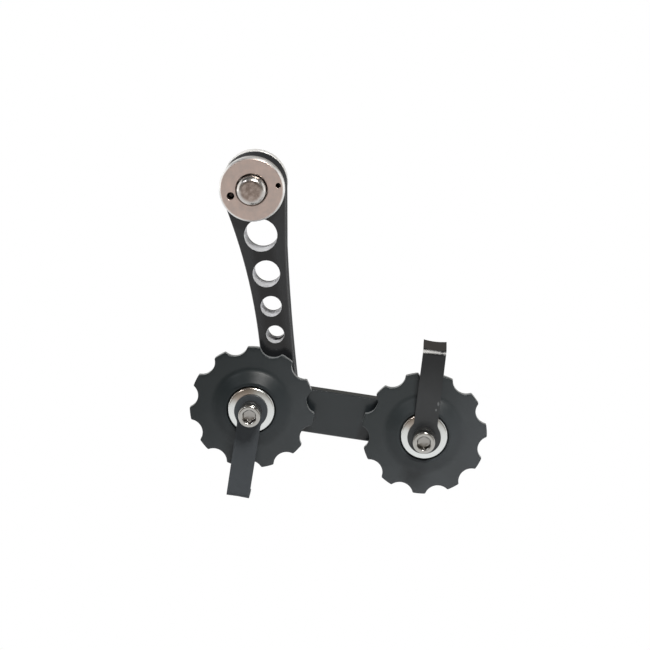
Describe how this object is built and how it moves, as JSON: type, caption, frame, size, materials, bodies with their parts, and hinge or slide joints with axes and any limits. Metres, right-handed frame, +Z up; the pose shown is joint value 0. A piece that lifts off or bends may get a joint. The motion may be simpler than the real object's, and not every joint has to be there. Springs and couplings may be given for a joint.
{
  "type": "bicycle chain tensioner",
  "caption": "Sprung chain tensioner: an L-shaped arm pivots at a hanger bolt and carries two toothed pulleys on bearings, each with a bent chain guard.",
  "frame": {"origin": "on the hanger bolt's axis, in the contact face of the stop disc", "axes": "-Y towards the hanger and the hub along the bolt's axis; +Z up and +X to the right as seen from the hub side, with the arm at its stop"},
  "size_m": [0.1018, 0.0431, 0.118],
  "materials": {
    "black_anodised": "satin black anodised, with bare bright walls in the lightening holes",
    "black_sheet_steel": "semi-gloss black coating on bent sheet",
    "pulley_plastic": "moulded, satin, with turned rings on the cone",
    "nickel_plated_steel": "nickel plate over concentric turning marks",
    "bright_bolt_steel": "bright plated",
    "bright_alloy": "bright turned silver",
    "hardened_steel": "ground",
    "spring_steel": "oiled wire",
    "bush_bronze": "sintered bearing bronze",
    "washer_plastic": "smooth",
    "cage_plastic": "moulded",
    "black_spacer": "black anodised"
  },
  "bodies": {
    "hanger_mount": {"stop_disc": "nickel_plated_steel", "thrust_washer": "washer_plastic", "outer_cap": "nickel_plated_steel"},
    "hanger_bolt": {"hanger_bolt": "bright_bolt_steel"},
    "arm": {"arm": "black_anodised", "pivot_bush": "bush_bronze", "stop_pin": "hardened_steel", "torsion_spring": "spring_steel", "guide_inner_race": "hardened_steel", "guide_rear_dust_cap": "bright_alloy", "guide_front_dust_cap": "bright_alloy", "guide_axle_bolt": "bright_bolt_steel", "guide_spacer": "black_spacer", "guide_chain_guard": "black_sheet_steel", "tension_inner_race": "hardened_steel", "tension_rear_dust_cap": "bright_alloy", "tension_front_dust_cap": "bright_alloy", "tension_axle_bolt": "bright_bolt_steel", "tension_spacer": "black_spacer", "tension_chain_guard": "black_sheet_steel"},
    "guide_pulley": {"guide_pulley": "pulley_plastic", "guide_outer_race": "hardened_steel"},
    "guide_ball_set": {"guide_bearing_balls": "hardened_steel", "guide_bearing_cage": "cage_plastic"},
    "tension_pulley": {"tension_pulley": "pulley_plastic", "tension_outer_race": "hardened_steel"},
    "tension_ball_set": {"tension_bearing_balls": "hardened_steel", "tension_bearing_cage": "cage_plastic"}
  },
  "joints": [
    {"name": "arm_swing", "type": "hinge", "parent": "hanger_mount", "child": "arm", "pos_m": [0, 0.008, 0], "axis": [0, 1, 0], "range_deg": [0, 90], "stiffness_Nm_per_rad": 0.8, "springref_deg": -28.65, "deforming": ["torsion_spring"]},
    {"name": "hanger_bolt_slide", "type": "slide", "parent": "hanger_mount", "child": "hanger_bolt", "axis": [0, -1, 0], "range_m": [0, 0.008]},
    {"name": "guide_spin", "type": "hinge", "parent": "arm", "child": "guide_pulley", "pos_m": [-0.00025, -0.00155, -0.07535], "axis": [0, 1, 0], "continuous": true},
    {"name": "guide_ball_spin", "type": "hinge", "parent": "arm", "child": "guide_ball_set", "pos_m": [-0.00025, -0.00155, -0.07535], "axis": [0, 1, 0], "continuous": true},
    {"name": "tension_spin", "type": "hinge", "parent": "arm", "child": "tension_pulley", "pos_m": [0.05883, -0.00155, -0.08376], "axis": [0, 1, 0], "continuous": true},
    {"name": "tension_ball_spin", "type": "hinge", "parent": "arm", "child": "tension_ball_set", "pos_m": [0.05883, -0.00155, -0.08376], "axis": [0, 1, 0], "continuous": true}
  ],
  "couplings": [
    {"joint": "guide_ball_spin", "follows": "guide_spin", "ratio": 0.64286},
    {"joint": "tension_ball_spin", "follows": "tension_spin", "ratio": 0.64286}
  ]
}
